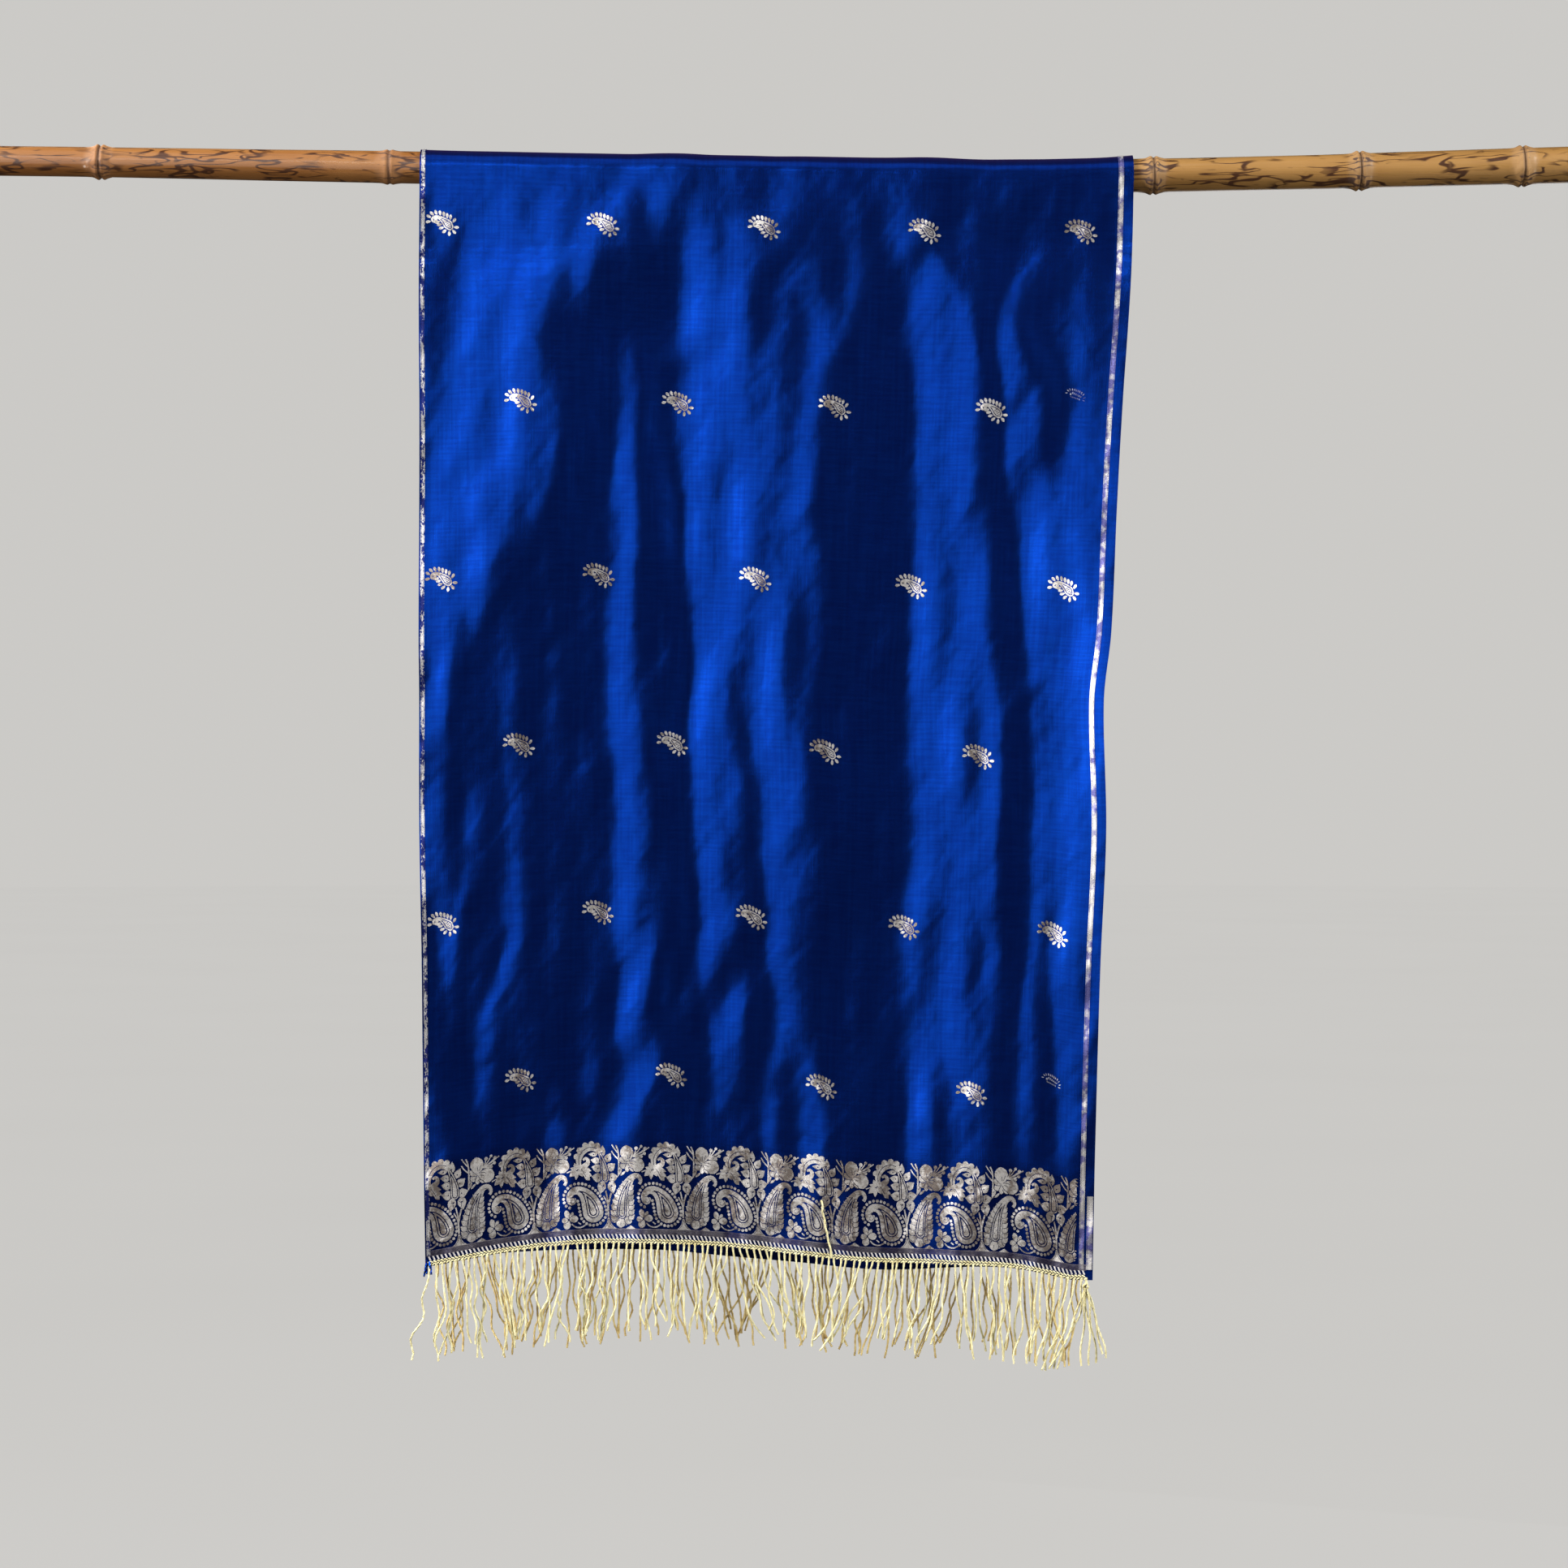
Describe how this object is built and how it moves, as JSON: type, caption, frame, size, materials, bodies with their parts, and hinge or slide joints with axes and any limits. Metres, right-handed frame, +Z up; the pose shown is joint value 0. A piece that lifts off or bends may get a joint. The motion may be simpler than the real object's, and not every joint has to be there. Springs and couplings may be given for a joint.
{
  "type": "dupatta stole hung over a bamboo rod",
  "caption": "Silk stole with woven paisley end bands and thread fringes, hung in two long folds over a plain bamboo rod.",
  "frame": {"origin": "On the rod's axis, midway across the cloth, where the rod's supports carry it.", "axes": "+X along the rod to the viewer's right, +Z up, -Y towards the viewer of the front panel."},
  "size_m": [1.3, 0.0541, 0.9726],
  "materials": {
    "bamboo": "varnished tan bamboo with dark scorch marks",
    "blue_silk": "lustrous royal blue silk satin",
    "silver_zari": "silver metal-thread brocade on blue silk",
    "gold_thread": "twisted pale gold silk thread"
  },
  "bodies": {
    "root": {"rod": "bamboo", "stole_over_rod": "blue_silk", "stole_front": "blue_silk", "stole_back": "blue_silk", "border_front": "silver_zari", "border_back": "silver_zari", "fringe_front": "gold_thread", "fringe_back": "gold_thread"}
  },
  "joints": []
}
